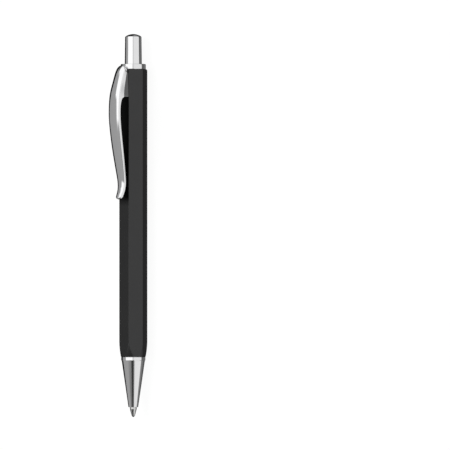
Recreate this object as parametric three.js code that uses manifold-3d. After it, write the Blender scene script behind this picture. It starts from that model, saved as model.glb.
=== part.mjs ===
// A retractable ballpoint pen with a six-sided metal barrel, a push button and a pocket clip.
// Millimetres. The finished pen lies on one of its flats: writing tip towards -X, button towards +X,
// clip up towards +Z, and the origin on the surface it lies on, halfway along its length.
// Every piece is first made standing up: the pen's axis is Y, y = 0 is the very tip of the ball,
// and the clip is on the +Z side. One group at the end lays the whole pen down.

import * as THREE from "three";
import Module from "manifold-3d";
import { mergeVertices } from "three/addons/utils/BufferGeometryUtils.js";

const wasm = await Module();
wasm.setup();

// Outside sizes, as the photograph shows them
const acrossFlats = 9.1;
const barrelLength = 105.0;
const barrelCornerRounding = 0.25;
const barrelFrontStep = 0.15; // the barrel's round front end is this much inside its flats
const barrelFrontTaper = 4.95; // length over which the round front end grows out to the corners
const barrelFrontBulge = 0.35; // how far that taper is from straight
const barrelRearChamfer = 0.35;
const tipShowing = 3.6; // writing tip in front of the nose cone
const coneLength = 16.8;
const coneFrontRadius = 1.78;
const coneRearRadius = 4.22;
const shoulderLength = 1.65; // the short round shoulder behind the cone
const shoulderStep = 0.02; // shoulder to the barrel's round front end
const collarThickness = 1.9;
const collarOverhang = 0.025; // the collar is this much proud of the flats
const collarEdge = 0.15;
const buttonShowing = 11.0;
const buttonRadius = 3.14; // where it comes out of the collar
const buttonTopRadius = 3.0;
const buttonDome = 1.1;

// Travel of the button and the refill from the writing position that the photograph shows
const pressTravel = 1.5;
const retractTravel = 5.0;
const stopGap = 0.3; // spare room left at each end of the travel

// Fits
const slidePlay = 0.1;
const threadPlay = 0.08;
const seatPlay = 0.05;
const threadDepth = 0.15;
const threadPitch = 1.5;

// Refill
const ballRadius = 0.5;
const ballShowing = 0.45;
const tipRimRadius = 0.6;
const tipConeLength = 2.15;
const tipConeRadius = 1.18;
const tipRadius = 1.25;
const tipLength = 14.0;
const tipStemLength = 3.6;
const tipStemRadius = 0.95;
const inkBoreRadius = 0.35;
const neckRadius = 1.45;
const neckLength = 9.5;
const tubeRadius = 2.8;
const tubeWall = 0.4;
const flangeLength = 2.0; // the ring of the refill nose that the spring pushes on
const nosePlugLength = 5.0; // part of the refill nose inside the tube
const endPlugInside = 4.0;
const endPlugShowing = 4.0;
const endPlugTaper = 0.6;
const ventRadius = 0.4;
const airLength = 8.95; // between the ink and the end plug

// Return spring
const wireRadius = 0.25;
const springTurns = 8.5;
const springRoom = 0.2; // room between the spring and the bore around it
const springRadius = 2.0; // to the middle of the wire

// Nose cone inside
const spigotWall = 0.6;
const spigotLength = 8.0;

// Click mechanism
const grooveCount = 4;
const sleeveWall = 0.4;
const collarSleeveLength = 10.0;
const collarSleeveWall = 0.4;
const buttonWall = 0.7;
const buttonSkirt = 10.0; // part of the button inside the collar at rest
const buttonCrown = 2.7; // thickness of the button's closed end
const mainBorePlay = 0.5;
const rotorLength = 8.0;
const rotorRibLength = 2.6;
const ribWidth = 1.0;
const toothHeight = 0.9;
const rotorStemRadius = 1.1;
const rotorStemLength = 3.0;
const plungerRibLength = 3.0;
const plungerNeckLength = 3.95; // from the plunger's teeth to its ribs
const sleeveEndRing = 0.7; // ungrooved ring at the sleeve's rear that stops the plunger's ribs

// Clip: outline of its outside along the middle. Each point is a distance from the barrel's rear
// end towards the tip, and a height over the flat that the clip lies along.
const clipCrown = [
  [-1.45, 1.2],
  [-0.75, 1.7],
  [0.4, 2.33],
  [4.75, 3.9],
  [9.1, 5.0],
  [13.0, 5.41],
  [17.8, 5.44],
  [22.5, 5.0],
  [28.3, 4.1],
  [35.2, 2.78],
  [39.2, 1.97],
  [42.0, 1.66],
  [44.4, 2.02],
  [46.2, 2.69],
  [47.3, 3.12],
];
// Half widths of the clip at distances from the barrel's rear end
const clipHalfWidth = [
  [-1.6, 2.05],
  [0.1, 2.24],
  [5.0, 2.6],
  [9.9, 2.78],
  [14.6, 2.84],
  [21.8, 2.79],
  [28.0, 2.6],
  [34.0, 2.35],
  [38.2, 2.05],
  [42.0, 1.79],
  [45.2, 1.56],
  [48.0, 1.3],
];
// How far the arched leaf has turned down at its side edges, in degrees: more over the foot
const clipLean = [
  [-1.6, 28],
  [5.0, 26],
  [9.0, 20.5],
  [13.0, 16.5],
  [48.0, 16.5],
];
const clipSheet = 0.95;
const clipRootGain = 1.3; // how much thicker the leaf gets up to the foot's front face
const clipRootFillet = 4.2; // length over which it thins out again in front of the foot
const clipTopRound = 2.2; // radius of the leaf's round top end, seen from the front
const clipTipRound = 1.42;
const clipStations = 60;
const clipAcross = 8;
const footFront = 10.2; // from the barrel's rear end to the foot's front face
const footRear = 1.45;
const footHalfWidth = 2.18; // where it stands on the barrel
const footDraft = 0.08; // how much each side widens per millimetre of height
const footTopDepth = 0.85; // the foot's top inside the leaf, below the crown
const footSeat = 0.05;
const tongueHalfWidth = 1.3;
const tongueThickness = 1.1;
const tongueHook = 1.25; // length of the hook inside the barrel wall
const hookThickness = 0.35;
const slotHalfWidth = 2.5;
const slotDepth = 1.35;

const roundSegments = 48;
const innerSegments = 32;

// Places along the axis that follow from the sizes above
const flat = acrossFlats / 2;
const cornerRadius = flat / Math.cos(Math.PI / 6);
const coneFront = tipShowing;
const coneRear = coneFront + coneLength;
const barrelFront = coneRear + shoulderLength;
const barrelRear = barrelFront + barrelLength;
const collarRear = barrelRear + collarThickness;
const penLength = collarRear + buttonShowing;
const barrelFrontRadius = flat - barrelFrontStep;
const shoulderRadius = barrelFrontRadius - shoulderStep;

const tipRear = ballShowing + tipLength;
const stemRear = tipRear + tipStemLength;
const flangeFront = tipRear + neckLength;
const tubeFront = flangeFront + flangeLength;
const tubeBore = tubeRadius - tubeWall;

const spigotRear = barrelFront + spigotLength;
const spigotBore = tubeRadius + slidePlay + seatPlay;
const spigotRadius = spigotBore + spigotWall + threadPlay;
const frontBore = spigotRadius + threadPlay;
const flangeStop = flangeFront - pressTravel - stopGap;
const tipBore = tipRadius + slidePlay;
const springBore = springRadius + wireRadius + springRoom;
const springSeat = tipRear - pressTravel - stopGap;

const mainBore = tubeRadius + mainBorePlay;
const collarBore = buttonRadius + slidePlay;
const collarSleeveRadius = collarBore + collarSleeveWall;
const rearBore = collarSleeveRadius + threadPlay;
const collarSleeveFront = barrelRear - collarSleeveLength;
const sleeveRear = collarSleeveFront - seatPlay;
const sleeveRadius = rearBore - slidePlay;
const grooveRadius = sleeveRadius - sleeveWall;
const ribRadius = grooveRadius - slidePlay;
const buttonBore = buttonRadius - buttonWall;
const stemRadius = buttonBore - slidePlay;
const landBore = stemRadius + slidePlay;
const grooveRear = sleeveRear - sleeveEndRing;
const plungerRibRear = grooveRear - retractTravel - stopGap;
const plungerRibFront = plungerRibRear - plungerRibLength;
const plungerFront = plungerRibFront - plungerNeckLength;
const plungerRear = penLength - buttonCrown - seatPlay;
const rotorRear = plungerFront - seatPlay;
const rotorFront = rotorRear - rotorLength;
const rotorRibRear = rotorRear - toothHeight;
const rotorRibFront = rotorRibRear - rotorRibLength;
const sleeveFront = rotorRibRear + seatPlay; // the rotor's ribs rest there while the tip is out
const refillRear = rotorFront - seatPlay;
const tubeRear = refillRear - endPlugShowing;
const inkFront = tubeFront + nosePlugLength + seatPlay;
const inkRear = tubeRear - endPlugInside - airLength;

// A geometry with its shared points merged and its flat triangles dropped
function closed(geometry) {
  const bare = geometry.clone();
  bare.deleteAttribute("normal");
  bare.deleteAttribute("uv");
  const merged = mergeVertices(bare, 1e-5);
  const corners = Array.from(merged.index.array);
  const kept = [];
  for (let i = 0; i < corners.length; i += 3) {
    const [a, b, c] = corners.slice(i, i + 3);
    if (a !== b && b !== c && c !== a) kept.push(a, b, c);
  }
  merged.setIndex(kept);
  return merged;
}

function solid(geometry) {
  const g = closed(geometry);
  return new wasm.Manifold(
    new wasm.Mesh({
      numProp: 3,
      vertProperties: new Float32Array(g.getAttribute("position").array),
      triVerts: new Uint32Array(g.index.array),
    })
  );
}

function geometryOf(manifold) {
  const mesh = manifold.getMesh();
  const g = new THREE.BufferGeometry();
  g.setAttribute("position", new THREE.BufferAttribute(new Float32Array(mesh.vertProperties), 3));
  g.setIndex(Array.from(mesh.triVerts));
  g.computeVertexNormals();
  return g;
}

// A turned solid: [radius, height] points, up the outside, starting and ending on the axis
function turned(points, segments = roundSegments) {
  const profile = points.map(([r, y]) => new THREE.Vector2(r, y));
  return closed(new THREE.LatheGeometry(profile, segments));
}

// A turned ring: [radius, height] points, up the outside and down the bore
function turnedRing(points, segments = roundSegments) {
  return turned([...points, points[0]], segments);
}

function boxBetween(halfWidth, y0, y1, z0, z1) {
  const g = new THREE.BoxGeometry(2 * halfWidth, y1 - y0, z1 - z0);
  g.translate(0, (y0 + y1) / 2, (z0 + z1) / 2);
  return g;
}

// A shape of (x, -z) pulled up along the pen from y0 to y1
function pulledUp(shape, y0, y1, curveSegments = 4) {
  const g = new THREE.ExtrudeGeometry(shape, { depth: y1 - y0, bevelEnabled: false, curveSegments });
  g.rotateX(-Math.PI / 2);
  g.translate(0, y0, 0);
  return g;
}

// Crests and roots of a thread, drawn as rings, from y0 to y1 up the outside
function threadProfile(crest, y0, y1) {
  const turns = Math.floor((y1 - y0) / threadPitch);
  const points = [[crest - threadDepth, y0]];
  for (let i = 0; i < turns; i += 1) {
    points.push([crest, y0 + (i + 0.5) * threadPitch]);
    points.push([crest - threadDepth, y0 + (i + 1) * threadPitch]);
  }
  return points;
}

function hexagonOutline() {
  const shape = new THREE.Shape();
  const toArc = cornerRadius - barrelCornerRounding / Math.cos(Math.PI / 6);
  for (let i = 0; i < 6; i += 1) {
    const angle = (i * Math.PI) / 3;
    shape.absarc(
      toArc * Math.cos(angle),
      toArc * Math.sin(angle),
      barrelCornerRounding,
      angle - Math.PI / 6,
      angle + Math.PI / 6,
      false
    );
  }
  return shape;
}

// Barrel: a six-sided bar, its front end turned down to the shoulder and its rear edge broken,
// bored from end to end, with a slot in its rear edge for the clip's tongue
function barrel() {
  const beyond = cornerRadius + 0.2;
  const envelope = [
    [0, barrelFront],
    [barrelFrontRadius, barrelFront],
  ];
  const steps = 6;
  for (let i = 1; i <= steps; i += 1) {
    const u = i / steps;
    const share = u + barrelFrontBulge * u * (1 - u);
    envelope.push([
      barrelFrontRadius + (cornerRadius - barrelFrontRadius) * share,
      barrelFront + barrelFrontTaper * u,
    ]);
  }
  envelope.push([beyond, barrelFront + barrelFrontTaper + 1]);
  envelope.push([beyond, barrelRear - barrelRearChamfer - (beyond - cornerRadius)]);
  envelope.push([cornerRadius - barrelRearChamfer, barrelRear]);
  envelope.push([0, barrelRear]);

  const bore = [
    [0, barrelFront - 1],
    [frontBore, barrelFront - 1],
    [frontBore, spigotRear + stopGap],
    [mainBore, spigotRear + stopGap],
    [mainBore, sleeveFront - seatPlay],
    [rearBore, sleeveFront - seatPlay],
    [rearBore, barrelRear + 1],
    [0, barrelRear + 1],
  ];
  const slot = boxBetween(slotHalfWidth, barrelRear - slotDepth, barrelRear + 1, rearBore - 0.6, flat + 1);
  const hookPocket = boxBetween(
    tongueHalfWidth + slidePlay,
    barrelRear - slotDepth - tongueHook - slidePlay,
    barrelRear,
    rearBore - 0.6,
    rearBore + hookThickness + 2 * slidePlay
  );
  return geometryOf(
    solid(pulledUp(hexagonOutline(), barrelFront, barrelRear))
      .intersect(solid(turned(envelope, 96)))
      .subtract(solid(turned(bore, innerSegments)))
      .subtract(solid(slot))
      .subtract(solid(hookPocket))
  );
}

// Nose cone: cone, rounded shoulder and threaded spigot in one turned piece
function noseCone() {
  const edge = 0.12;
  const outside = [
    [coneFrontRadius - edge, coneFront],
    [coneFrontRadius, coneFront + edge],
    [coneRearRadius, coneRear],
  ];
  const steps = 4;
  const rise = 0.4 * shoulderLength;
  for (let i = 1; i <= steps; i += 1) {
    const angle = (i / steps) * (Math.PI / 2);
    outside.push([
      coneRearRadius + (shoulderRadius - coneRearRadius) * Math.sin(angle),
      coneRear + rise * (1 - Math.cos(angle)),
    ]);
  }
  outside.push([shoulderRadius, barrelFront - seatPlay]);
  outside.push(...threadProfile(spigotRadius, barrelFront - seatPlay, spigotRear - 0.3));
  outside.push([spigotRadius - threadDepth, spigotRear]);
  const inside = [
    [spigotBore, spigotRear],
    [spigotBore, flangeStop],
    [springBore, flangeStop],
    [springBore, springSeat],
    [tipBore, springSeat],
    [tipBore, coneFront],
  ];
  return turnedRing([...outside, ...inside]);
}

// Collar: the ring behind the barrel, with a threaded sleeve that guides the button
function collar() {
  const flange = flat + collarOverhang;
  return turnedRing([
    [collarSleeveRadius - threadDepth, collarSleeveFront],
    ...threadProfile(collarSleeveRadius, collarSleeveFront + 0.4, barrelRear - tongueThickness - 0.5),
    [collarSleeveRadius - threadDepth, barrelRear],
    [flange - collarEdge / 2, barrelRear],
    [flange, barrelRear + collarEdge / 2],
    [flange, collarRear - collarEdge],
    [flange - collarEdge, collarRear],
    [collarBore, collarRear],
    [collarBore, collarSleeveFront],
  ]);
}

// Button: a deep cap with a low dome, open at the front, where the plunger goes in
function button() {
  const skirtFront = collarRear - buttonSkirt;
  const shoulder = penLength - buttonDome;
  const corner = 0.45;
  const outside = [
    [buttonRadius, skirtFront],
    [buttonRadius, collarRear],
    [buttonTopRadius, shoulder],
  ];
  const steps = 8;
  for (let i = 1; i <= steps; i += 1) {
    const angle = (i / steps) * (Math.PI / 2);
    const low = corner * Math.sin(angle);
    const dome = (buttonDome - corner) * (1 - Math.cos(angle) ** 2);
    outside.push([i === steps ? 0 : buttonTopRadius * Math.cos(angle), shoulder + low + dome]);
  }
  const inside = [
    [0, penLength - buttonCrown],
    [buttonBore, penLength - buttonCrown],
    [buttonBore, skirtFront],
  ];
  return turned([...inside, ...outside]);
}

// A crown of sawteeth round the axis, from the plane at "base" up or down to the teeth
function toothCrown(innerRadius, outerRadius, base, foot, pointing) {
  const teeth = 2 * grooveCount;
  const perTooth = 6;
  const count = teeth * perTooth;
  const positions = [];
  const index = [];
  for (let i = 0; i < count; i += 1) {
    const angle = (i / count) * 2 * Math.PI;
    const share = (i % perTooth) / (perTooth - 1);
    const top = foot + pointing * toothHeight * share;
    for (const [r, y] of [[outerRadius, base], [outerRadius, top], [innerRadius, top], [innerRadius, base]]) {
      positions.push(r * Math.sin(angle), y, r * Math.cos(angle));
    }
    const here = 4 * i;
    const next = 4 * ((i + 1) % count);
    for (let k = 0; k < 4; k += 1) {
      const a = here + k;
      const b = here + ((k + 1) % 4);
      const c = next + ((k + 1) % 4);
      const d = next + k;
      if (pointing > 0) index.push(a, d, c, a, c, b);
      else index.push(a, c, d, a, b, c);
    }
  }
  const g = new THREE.BufferGeometry();
  g.setAttribute("position", new THREE.Float32BufferAttribute(positions, 3));
  g.setIndex(index);
  return g;
}

// Ribs round the axis that run in the guide sleeve's grooves
function ribs(y0, y1, width, outerRadius, innerRadius) {
  const all = [];
  for (let i = 0; i < grooveCount; i += 1) {
    const rib = boxBetween(width / 2, y0, y1, innerRadius, outerRadius);
    rib.rotateY((i / grooveCount) * 2 * Math.PI);
    all.push(solid(rib));
  }
  return all.reduce((sum, rib) => sum.add(rib));
}

// Cam rotor: pushes the refill, and is turned a step by the plunger's teeth at each click
function camRotor() {
  const foot = rotorRibRear;
  const body = turned(
    [
      [0, rotorFront],
      [stemRadius - 0.25, rotorFront],
      [stemRadius - 0.05, rotorFront + 0.2],
      [stemRadius - 0.05, foot - 0.3],
      [rotorStemRadius, foot - 0.3],
      [rotorStemRadius, rotorRear + rotorStemLength],
      [0, rotorRear + rotorStemLength],
    ],
    innerSegments
  );
  const crown = toothCrown(rotorStemRadius - 0.2, stemRadius - 0.05, foot - 0.5, foot, 1);
  return geometryOf(
    solid(body)
      .add(solid(crown))
      .add(ribs(rotorRibFront, foot, ribWidth, ribRadius, stemRadius - 0.5))
  );
}

// Plunger: teeth at its front, a stem in the button's bore, ribs that keep it from turning
function plunger() {
  const foot = plungerFront + toothHeight;
  const bore = rotorStemRadius + 2 * slidePlay;
  const body = turned(
    [
      [0, rotorRear + rotorStemLength + stopGap],
      [bore, rotorRear + rotorStemLength + stopGap],
      [bore, foot],
      [stemRadius - 0.05, foot],
      [stemRadius, foot + 0.3],
      [stemRadius, plungerRear - 0.3],
      [stemRadius - 0.3, plungerRear],
      [0, plungerRear],
    ],
    innerSegments
  );
  const crown = toothCrown(bore, stemRadius - 0.05, foot + 0.3, foot, -1);
  return geometryOf(
    solid(body)
      .add(solid(crown))
      .add(ribs(plungerRibFront, plungerRibRear, ribWidth, ribRadius, stemRadius - 0.5))
  );
}

// Guide sleeve: held between a step in the bore and the collar's sleeve, with grooves for the ribs
function guideSleeve() {
  const body = turnedRing(
    [
      [sleeveRadius, sleeveFront],
      [sleeveRadius, sleeveRear],
      [landBore, sleeveRear],
      [landBore, sleeveFront],
    ],
    innerSegments
  );
  const grooveWidth = ribWidth + 2 * slidePlay;
  const grooves = ribs(sleeveFront - 1, grooveRear, grooveWidth, grooveRadius, landBore - 0.3);
  return geometryOf(solid(body).subtract(grooves));
}

// Return spring: one wire, wound from the seat in the nose cone to the refill's flange
function returnSpring() {
  const from = springSeat + seatPlay + wireRadius;
  const to = flangeFront - seatPlay - wireRadius;
  const stepsPerTurn = 8;
  const steps = springTurns * stepsPerTurn;
  const points = [];
  for (let i = 0; i <= steps; i += 1) {
    const angle = (i / stepsPerTurn) * 2 * Math.PI;
    const y = from + ((to - from) * i) / steps;
    points.push(new THREE.Vector3(springRadius * Math.cos(angle), y, springRadius * Math.sin(angle)));
  }
  const pitch = (to - from) / springTurns;
  console.log("least gap between the spring's turns, mm:", (pitch - 2 * wireRadius).toFixed(2));
  const sides = 5;
  const positions = [];
  const index = [];
  points.forEach((point, i) => {
    const angle = (i / stepsPerTurn) * 2 * Math.PI;
    const outward = new THREE.Vector3(Math.cos(angle), 0, Math.sin(angle));
    const up = new THREE.Vector3(0, 1, 0);
    for (let k = 0; k < sides; k += 1) {
      const turn = (k / sides) * 2 * Math.PI;
      const p = point
        .clone()
        .addScaledVector(outward, wireRadius * Math.cos(turn))
        .addScaledVector(up, wireRadius * Math.sin(turn));
      positions.push(p.x, p.y, p.z);
    }
  });
  for (let i = 0; i < points.length - 1; i += 1) {
    for (let k = 0; k < sides; k += 1) {
      const a = i * sides + k;
      const b = i * sides + ((k + 1) % sides);
      index.push(a, b, b + sides, a, b + sides, a + sides);
    }
  }
  const last = (points.length - 1) * sides;
  for (let k = 1; k < sides - 1; k += 1) {
    index.push(0, k + 1, k);
    index.push(last, last + k, last + k + 1);
  }
  const g = new THREE.BufferGeometry();
  g.setAttribute("position", new THREE.Float32BufferAttribute(positions, 3));
  g.setIndex(index);
  return g;
}

// Writing ball, held loosely in the socket at the end of the tip
function writingBall() {
  const g = new THREE.SphereGeometry(ballRadius, 24, 16);
  g.translate(0, ballRadius, 0);
  return closed(g);
}

// Refill tip: the metal point with the ball's socket and the ink channel
function refillTip() {
  const socket = ballRadius + slidePlay / 2;
  const socketRear = 2 * ballRadius + seatPlay;
  return turnedRing([
    [tipRimRadius, ballShowing],
    [tipConeRadius, ballShowing + tipConeLength],
    [tipRadius, ballShowing + tipConeLength + 0.35],
    [tipRadius, tipRear],
    [tipStemRadius, tipRear],
    [tipStemRadius, stemRear],
    [inkBoreRadius, stemRear],
    [inkBoreRadius, socketRear],
    [socket, socketRear],
    [socket, ballShowing],
  ]);
}

// Refill nose: the neck that the spring goes round, and the flange that it pushes on
function refillNose() {
  const stemBore = tipStemRadius + seatPlay;
  return turnedRing(
    [
      [neckRadius, tipRear + seatPlay],
      [neckRadius, flangeFront],
      [tubeRadius, flangeFront],
      [tubeRadius, tubeFront - seatPlay],
      [tubeBore - slidePlay, tubeFront - seatPlay],
      [tubeBore - slidePlay, tubeFront + nosePlugLength],
      [2 * inkBoreRadius, tubeFront + nosePlugLength],
      [2 * inkBoreRadius, stemRear + seatPlay],
      [stemBore, stemRear + seatPlay],
      [stemBore, tipRear + seatPlay],
    ],
    innerSegments
  );
}

function refillTube() {
  return turnedRing(
    [
      [tubeRadius, tubeFront],
      [tubeRadius, tubeRear],
      [tubeBore, tubeRear],
      [tubeBore, tubeFront],
    ],
    innerSegments
  );
}

// Ink: the column of paste in the tube, behind the refill nose
function inkColumn() {
  const radius = tubeBore - slidePlay;
  return turned([[0, inkFront], [radius, inkFront], [radius, inkRear], [0, inkRear]], innerSegments);
}

// End plug of the refill, with its air vent
function refillPlug() {
  return turnedRing(
    [
      [tubeBore - slidePlay, tubeRear - endPlugInside],
      [tubeBore - slidePlay, tubeRear + seatPlay],
      [tubeRadius, tubeRear + seatPlay],
      [tubeRadius, refillRear - endPlugTaper],
      [tubeRadius - endPlugTaper, refillRear],
      [ventRadius, refillRear],
      [ventRadius, tubeRear - endPlugInside],
    ],
    innerSegments
  );
}

// Value at x of a smooth curve through [x, value] points
function smoothAt(points, x) {
  const last = points.length - 1;
  let i = 0;
  while (i < last - 1 && x > points[i + 1][0]) i += 1;
  const slope = (k) => {
    const a = points[Math.max(k - 1, 0)];
    const b = points[Math.min(k + 1, last)];
    return (b[1] - a[1]) / (b[0] - a[0]);
  };
  const [x0, v0] = points[i];
  const [x1, v1] = points[i + 1];
  const w = x1 - x0;
  const t = Math.min(Math.max((x - x0) / w, 0), 1);
  return (
    v0 * (2 * t ** 3 - 3 * t ** 2 + 1) +
    w * slope(i) * (t ** 3 - 2 * t ** 2 + t) +
    v1 * (3 * t ** 2 - 2 * t ** 3) +
    w * slope(i + 1) * (t ** 3 - t ** 2)
  );
}

// Half width of the clip, with its two ends rounded as seen from the front
function halfWidthAt(distance) {
  const first = clipCrown[0][0] - 0.15;
  const last = clipCrown[clipCrown.length - 1][0] + 0.25;
  let w = smoothAt(clipHalfWidth, distance);
  const intoTop = clipTopRound - (distance - first);
  if (intoTop > 0) w *= Math.sqrt(Math.max(1 - (intoTop / clipTopRound) ** 2, 0));
  const intoTip = clipTipRound - (last - distance);
  if (intoTip > 0) w *= Math.sqrt(Math.max(1 - (intoTip / clipTipRound) ** 2, 0));
  return w;
}

// Points and outward directions along the clip's crown, closer together at its two round ends
function clipLine() {
  const curve = new THREE.CatmullRomCurve3(
    clipCrown.map(([d, h]) => new THREE.Vector3(0, barrelRear - d, flat + h)),
    false,
    "centripetal"
  );
  const line = [];
  for (let i = 0; i <= clipStations; i += 1) {
    const even = i / clipStations;
    const t = even - (0.55 / (2 * Math.PI)) * Math.sin(2 * Math.PI * even);
    const point = curve.getPointAt(t);
    const along = curve.getTangentAt(t);
    const outward = new THREE.Vector3(0, along.z, -along.y);
    line.push({ point, outward });
  }
  return line;
}

// Thickness of the leaf: it grows evenly over the foot, then thins out again in a quarter ellipse
function depthAt(distance) {
  if (distance < footFront) return clipSheet + (clipRootGain * Math.max(distance, 0)) / footFront;
  const left = Math.max(1 - (distance - footFront) / clipRootFillet, 0);
  return clipSheet + clipRootGain * (1 - Math.sqrt(1 - left ** 2));
}

// Leaf of the clip: a sheet along the crown line, arched across its width
function clipLeaf() {
  const positions = [];
  const index = [];
  const row = 2 * (clipAcross + 1);
  const line = clipLine();
  for (const { point, outward } of line) {
    const distance = barrelRear - point.y;
    const w = halfWidthAt(distance);
    const lean = (smoothAt(clipLean, distance) * Math.PI) / 180;
    const archRadius = smoothAt(clipHalfWidth, distance) / Math.sin(lean);
    for (const depth of [0, depthAt(distance)]) {
      for (let j = 0; j <= clipAcross; j += 1) {
        const x = w * ((2 * j) / clipAcross - 1);
        const sag = archRadius - Math.sqrt(archRadius ** 2 - x ** 2);
        const p = point.clone().addScaledVector(outward, -sag - depth);
        positions.push(x, p.y, p.z);
      }
    }
  }
  const quad = (a, b, c, d) => index.push(a, b, c, a, c, d);
  const outer = (i, j) => i * row + j;
  const inner = (i, j) => i * row + clipAcross + 1 + j;
  const end = line.length - 1;
  for (let i = 0; i < end; i += 1) {
    for (let j = 0; j < clipAcross; j += 1) {
      quad(outer(i, j), outer(i + 1, j), outer(i + 1, j + 1), outer(i, j + 1));
      quad(inner(i, j), inner(i, j + 1), inner(i + 1, j + 1), inner(i + 1, j));
    }
    quad(outer(i, 0), inner(i, 0), inner(i + 1, 0), outer(i + 1, 0));
    const j = clipAcross;
    quad(outer(i, j), outer(i + 1, j), inner(i + 1, j), inner(i, j));
  }
  for (let j = 0; j < clipAcross; j += 1) {
    quad(outer(0, j), outer(0, j + 1), inner(0, j + 1), inner(0, j));
    quad(outer(end, j), inner(end, j), inner(end, j + 1), outer(end, j + 1));
  }
  const g = new THREE.BufferGeometry();
  g.setAttribute("position", new THREE.Float32BufferAttribute(positions, 3));
  g.setIndex(index);
  return g;
}

// Height of the clip's crown over the flat at a distance from the barrel's rear end
function crownAt(distance) {
  return smoothAt(clipCrown, distance);
}

// Foot of the clip: the block between leaf and barrel, its sides widening a little upwards
function clipFoot() {
  const shape = new THREE.Shape();
  const point = (d, z) => [barrelRear - d, z];
  shape.moveTo(...point(footFront, flat + footSeat));
  const spans = 8;
  for (let i = 0; i <= spans; i += 1) {
    const d = footFront + ((footRear - footFront) * i) / spans;
    shape.lineTo(...point(d, flat + crownAt(d) - footTopDepth));
  }
  shape.lineTo(...point(footRear, flat + footSeat));
  const g = new THREE.ExtrudeGeometry(shape, { depth: 2 * footHalfWidth, bevelEnabled: false });
  g.translate(0, 0, -footHalfWidth);
  // shape x is the pen's axis and shape y its height: turn them to Y and Z
  const turn = new THREE.Matrix4().makeBasis(
    new THREE.Vector3(0, 1, 0),
    new THREE.Vector3(0, 0, 1),
    new THREE.Vector3(1, 0, 0)
  );
  g.applyMatrix4(turn);
  const place = g.getAttribute("position");
  for (let i = 0; i < place.count; i += 1) {
    const widening = 1 + (footDraft * (place.getZ(i) - flat)) / footHalfWidth;
    place.setX(i, place.getX(i) * widening);
  }
  return g;
}

// Clip: leaf, foot, and the tongue that goes through the slot and hooks under the barrel's wall
function clip() {
  const tongueRear = barrelRear - seatPlay;
  const tongueFront = tongueRear - tongueThickness;
  const inside = rearBore + seatPlay;
  const top = flat + crownAt(tongueThickness / 4) - clipSheet / 2;
  const tongue = boxBetween(tongueHalfWidth, tongueFront, tongueRear, inside, top);
  const hook = boxBetween(
    tongueHalfWidth,
    tongueFront - tongueHook,
    tongueRear,
    inside,
    inside + hookThickness
  );
  return geometryOf(solid(clipLeaf()).add(solid(clipFoot())).add(solid(tongue)).add(solid(hook)));
}

const finishes = {
  blackMetal: { color: 0x2c2c2d, roughness: 0.42, metalness: 0.3 },
  chrome: { color: 0xd9dadb, roughness: 0.12, metalness: 1.0 },
  steel: { color: 0xb9b9ba, roughness: 0.3, metalness: 1.0 },
  carbide: { color: 0x6c6c6f, roughness: 0.2, metalness: 1.0 },
  brass: { color: 0xc2a15a, roughness: 0.3, metalness: 1.0 },
  whitePlastic: { color: 0xe4e2dc, roughness: 0.5, metalness: 0.0 },
  darkPlastic: { color: 0x3a3b3e, roughness: 0.5, metalness: 0.0 },
  ink: { color: 0x15161f, roughness: 0.25, metalness: 0.0 },
};

function piece(name, geometry, finish) {
  const mesh = new THREE.Mesh(geometry, new THREE.MeshStandardMaterial(finishes[finish]));
  mesh.name = name;
  return mesh;
}

const pen = new THREE.Group();

const casing = new THREE.Group();
casing.add(piece("barrel", barrel(), "blackMetal"));
casing.add(piece("nose_cone", noseCone(), "chrome"));
casing.add(piece("collar", collar(), "chrome"));
casing.add(piece("guide_sleeve", guideSleeve(), "whitePlastic"));
casing.add(piece("return_spring", returnSpring(), "steel"));
casing.add(piece("clip", clip(), "chrome"));

const pushed = new THREE.Group();
pushed.add(piece("button", button(), "chrome"));
pushed.add(piece("plunger", plunger(), "whitePlastic"));

const refill = new THREE.Group();
refill.add(piece("writing_ball", writingBall(), "carbide"));
refill.add(piece("refill_tip", refillTip(), "steel"));
refill.add(piece("refill_nose", refillNose(), "brass"));
refill.add(piece("refill_tube", refillTube(), "steel"));
refill.add(piece("ink_column", inkColumn(), "ink"));
refill.add(piece("refill_plug", refillPlug(), "darkPlastic"));
refill.add(piece("cam_rotor", camRotor(), "whitePlastic"));

pen.add(casing, pushed, refill);
pen.rotation.z = -Math.PI / 2;
pen.position.set(-penLength / 2, 0, flat);

export default pen;
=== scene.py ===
# %% [markdown]
# # A push-button ballpoint pen
#
# The pen lies on one of its six flats with its clip up. The writing tip points to -X and the
# button to +X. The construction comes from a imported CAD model, which is loaded first and never
# moved. This script gives the pen its looks: smooth turned parts, a bent clip, and finishes made
# of shader nodes. Lengths are in metres, apart from the clip's, which are in millimetres.

# %% Load the frame
import math

import bmesh
import bpy
import numpy as np
from mathutils import Matrix, Vector


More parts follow.
